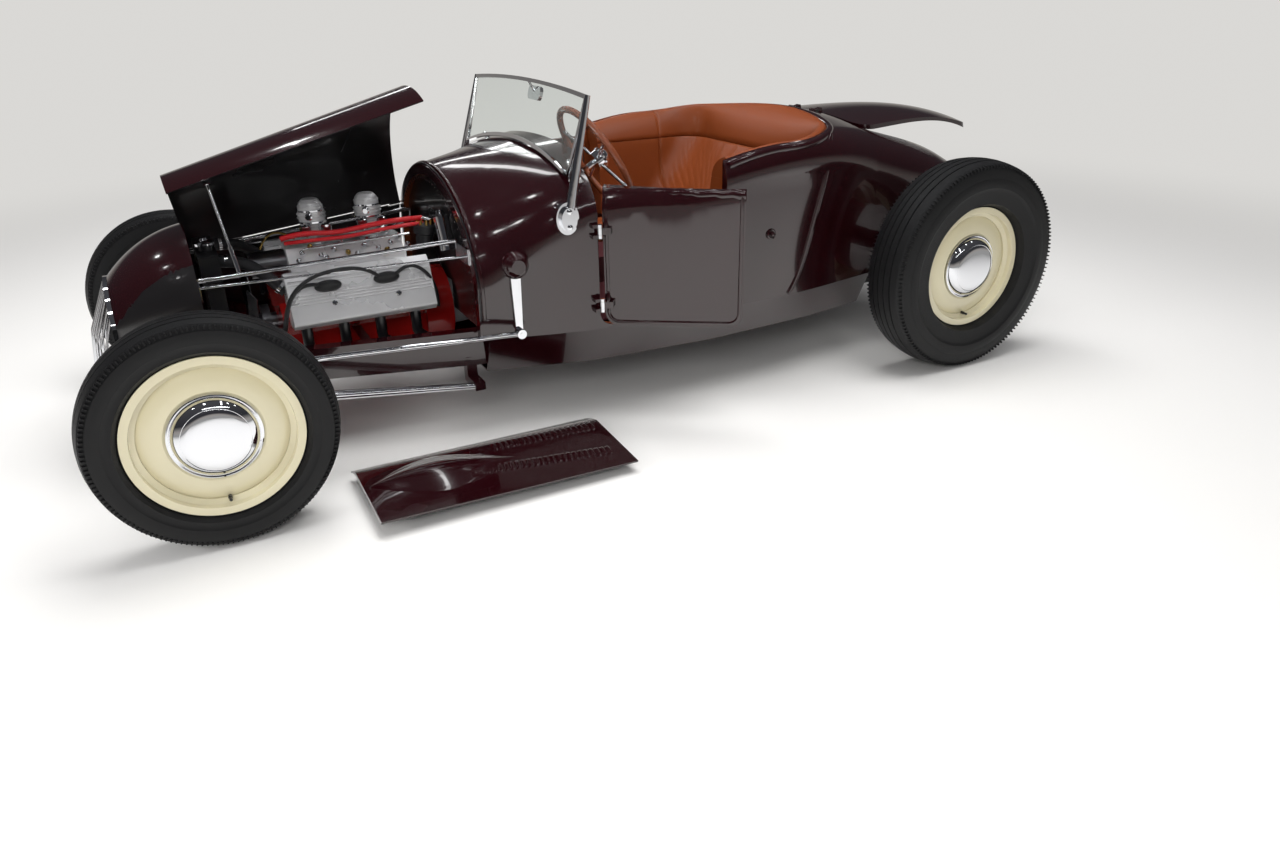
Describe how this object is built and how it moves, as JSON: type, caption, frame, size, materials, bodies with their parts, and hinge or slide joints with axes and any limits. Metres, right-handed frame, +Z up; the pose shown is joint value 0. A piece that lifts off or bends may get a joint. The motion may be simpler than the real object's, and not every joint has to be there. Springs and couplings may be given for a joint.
{
  "type": "street rod roadster",
  "caption": "Open street rod with a long hood over an exposed engine, wire-thin windshield, domed-cap disc wheels, opening doors, hood and trunk lid, and a hood side taken off.",
  "frame": {"origin": "middle of the bounding box, on the floor", "axes": "+X the car's left, +Y its tail, +Z up"},
  "size_m": [1.7469, 3.4539, 1.0859],
  "materials": {
    "body_paint": "deep gloss",
    "chassis_black": "satin",
    "chrome": "polished",
    "cast_aluminium": "as cast",
    "engine_red": "gloss",
    "tyre": "matt",
    "wheel_cream": "gloss",
    "leather": "satin",
    "carpet": "matt",
    "glass": "clear",
    "wheel_rim_brown": "gloss",
    "lamp_red": "clear",
    "plate_white": "satin",
    "steel": "satin"
  },
  "bodies": {
    "chassis": {"belly_pan": "body_paint", "carburettors": "cast_aluminium", "cockpit_pad": "leather", "controls": "chrome", "cowl": "body_paint", "driveshaft": "chassis_black", "engine_block": "engine_red", "engine_drive": "steel", "exhaust": "chassis_black", "firewall": "body_paint", "floor_pan": "carpet", "frame": "body_paint", "front_axle": "body_paint", "gearbox": "cast_aluminium", "grille": "chrome", "hood_side_left": "body_paint", "hood_side_right": "body_paint", "hood_stays": "chrome", "mirror": "chrome", "nose_shell": "body_paint", "plate_bracket": "plate_white", "radiator": "chassis_black", "radius_rods": "chrome", "rear_axle": "body_paint", "seat_back": "leather", "seat_cushion": "leather", "springs": "chassis_black", "steering_gear": "cast_aluminium", "tail_lamps": "lamp_red", "tub": "body_paint", "turtle_deck": "body_paint", "valve_covers": "cast_aluminium", "windshield_frame": "chrome", "windshield_glass": "glass"},
    "door_left": {"door_left": "body_paint"},
    "knuckle_left": {"knuckle_left": "chassis_black"},
    "wheel_front_left": {"wheel_front_left": "wheel_cream", "tyre_front_left": "tyre", "hub_cap_front_left": "chrome"},
    "wheel_rear_left": {"wheel_rear_left": "wheel_cream", "tyre_rear_left": "tyre", "hub_cap_rear_left": "chrome"},
    "door_right": {"door_right": "body_paint"},
    "knuckle_right": {"knuckle_right": "chassis_black"},
    "wheel_front_right": {"wheel_front_right": "wheel_cream", "tyre_front_right": "tyre", "hub_cap_front_right": "chrome"},
    "wheel_rear_right": {"wheel_rear_right": "wheel_cream", "tyre_rear_right": "tyre", "hub_cap_rear_right": "chrome"},
    "hood_top": {"hood_top": "body_paint", "hood_prop": "chrome"},
    "deck_lid": {"deck_lid": "body_paint"},
    "steering_wheel": {"steering_wheel": "wheel_rim_brown"},
    "pitman": {"pitman_arm": "chrome", "steering_dome": "body_paint"},
    "drag_link": {"drag_link": "chrome"},
    "tie_rod": {"tie_rod": "chrome"}
  },
  "joints": [
    {"name": "door_left_hinge", "type": "hinge", "parent": "chassis", "child": "door_left", "pos_m": [0.50463, -0.209, 0.56], "axis": [0, 0, -1], "range_deg": [-32, 38]},
    {"name": "door_right_hinge", "type": "hinge", "parent": "chassis", "child": "door_right", "pos_m": [-0.62737, -0.209, 0.56], "axis": [0, 0, 1], "range_deg": [0, 70]},
    {"name": "hood_hinge", "type": "hinge", "parent": "chassis", "child": "hood_top", "pos_m": [-0.30937, -1.361, 0.583], "axis": [0.2092, -0.9761, -0.0594], "range_deg": [-32, 28]},
    {"name": "deck_lid_hinge", "type": "hinge", "parent": "chassis", "child": "deck_lid", "pos_m": [-0.06137, 0.983, 0.898], "axis": [1, 0, 0], "range_deg": [-15, 45]},
    {"name": "steer_left", "type": "hinge", "parent": "chassis", "child": "knuckle_left", "pos_m": [0.53863, -1.409, 0.318], "axis": [0, 0, 1], "range_deg": [-25, 25]},
    {"name": "steer_right", "type": "hinge", "parent": "chassis", "child": "knuckle_right", "pos_m": [-0.66137, -1.409, 0.318], "axis": [0, 0, 1], "range_deg": [-25, 25]},
    {"name": "tie_rod_pivot", "type": "hinge", "parent": "knuckle_left", "child": "tie_rod", "pos_m": [0.53863, -1.259, 0.18], "axis": [0, 0, 1], "range_deg": [-25, 25]},
    {"name": "pitman_turn", "type": "hinge", "parent": "chassis", "child": "pitman", "pos_m": [0.44163, -0.479, 0.58], "axis": [1, 0, 0], "range_deg": [-14.8, 14.8]},
    {"name": "drag_link_pivot", "type": "hinge", "parent": "pitman", "child": "drag_link", "pos_m": [0.46463, -0.479, 0.36], "axis": [1, 0, 0], "range_deg": [-14.8, 14.8]},
    {"name": "steering_wheel_turn", "type": "hinge", "parent": "chassis", "child": "steering_wheel", "pos_m": [0.23863, -0.086, 0.831], "axis": [0, 0.8728, 0.4882], "range_deg": [-200, 200]},
    {"name": "wheel_front_left_roll", "type": "hinge", "parent": "knuckle_left", "child": "wheel_front_left", "pos_m": [0.64563, -1.409, 0.318], "axis": [1, 0, 0], "continuous": true},
    {"name": "wheel_rear_left_roll", "type": "hinge", "parent": "chassis", "child": "wheel_rear_left", "pos_m": [0.65463, 1.211, 0.387], "axis": [1, 0, 0], "continuous": true},
    {"name": "wheel_front_right_roll", "type": "hinge", "parent": "knuckle_right", "child": "wheel_front_right", "pos_m": [-0.76837, -1.409, 0.318], "axis": [1, 0, 0], "continuous": true},
    {"name": "wheel_rear_right_roll", "type": "hinge", "parent": "chassis", "child": "wheel_rear_right", "pos_m": [-0.77737, 1.211, 0.387], "axis": [1, 0, 0], "continuous": true}
  ],
  "couplings": [
    {"joint": "steer_right", "follows": "steer_left", "ratio": 1},
    {"joint": "tie_rod_pivot", "follows": "steer_left", "ratio": -1},
    {"joint": "pitman_turn", "follows": "steer_left", "ratio": -0.59091},
    {"joint": "drag_link_pivot", "follows": "steer_left", "ratio": 0.59091},
    {"joint": "steering_wheel_turn", "follows": "steer_left", "ratio": -8}
  ]
}
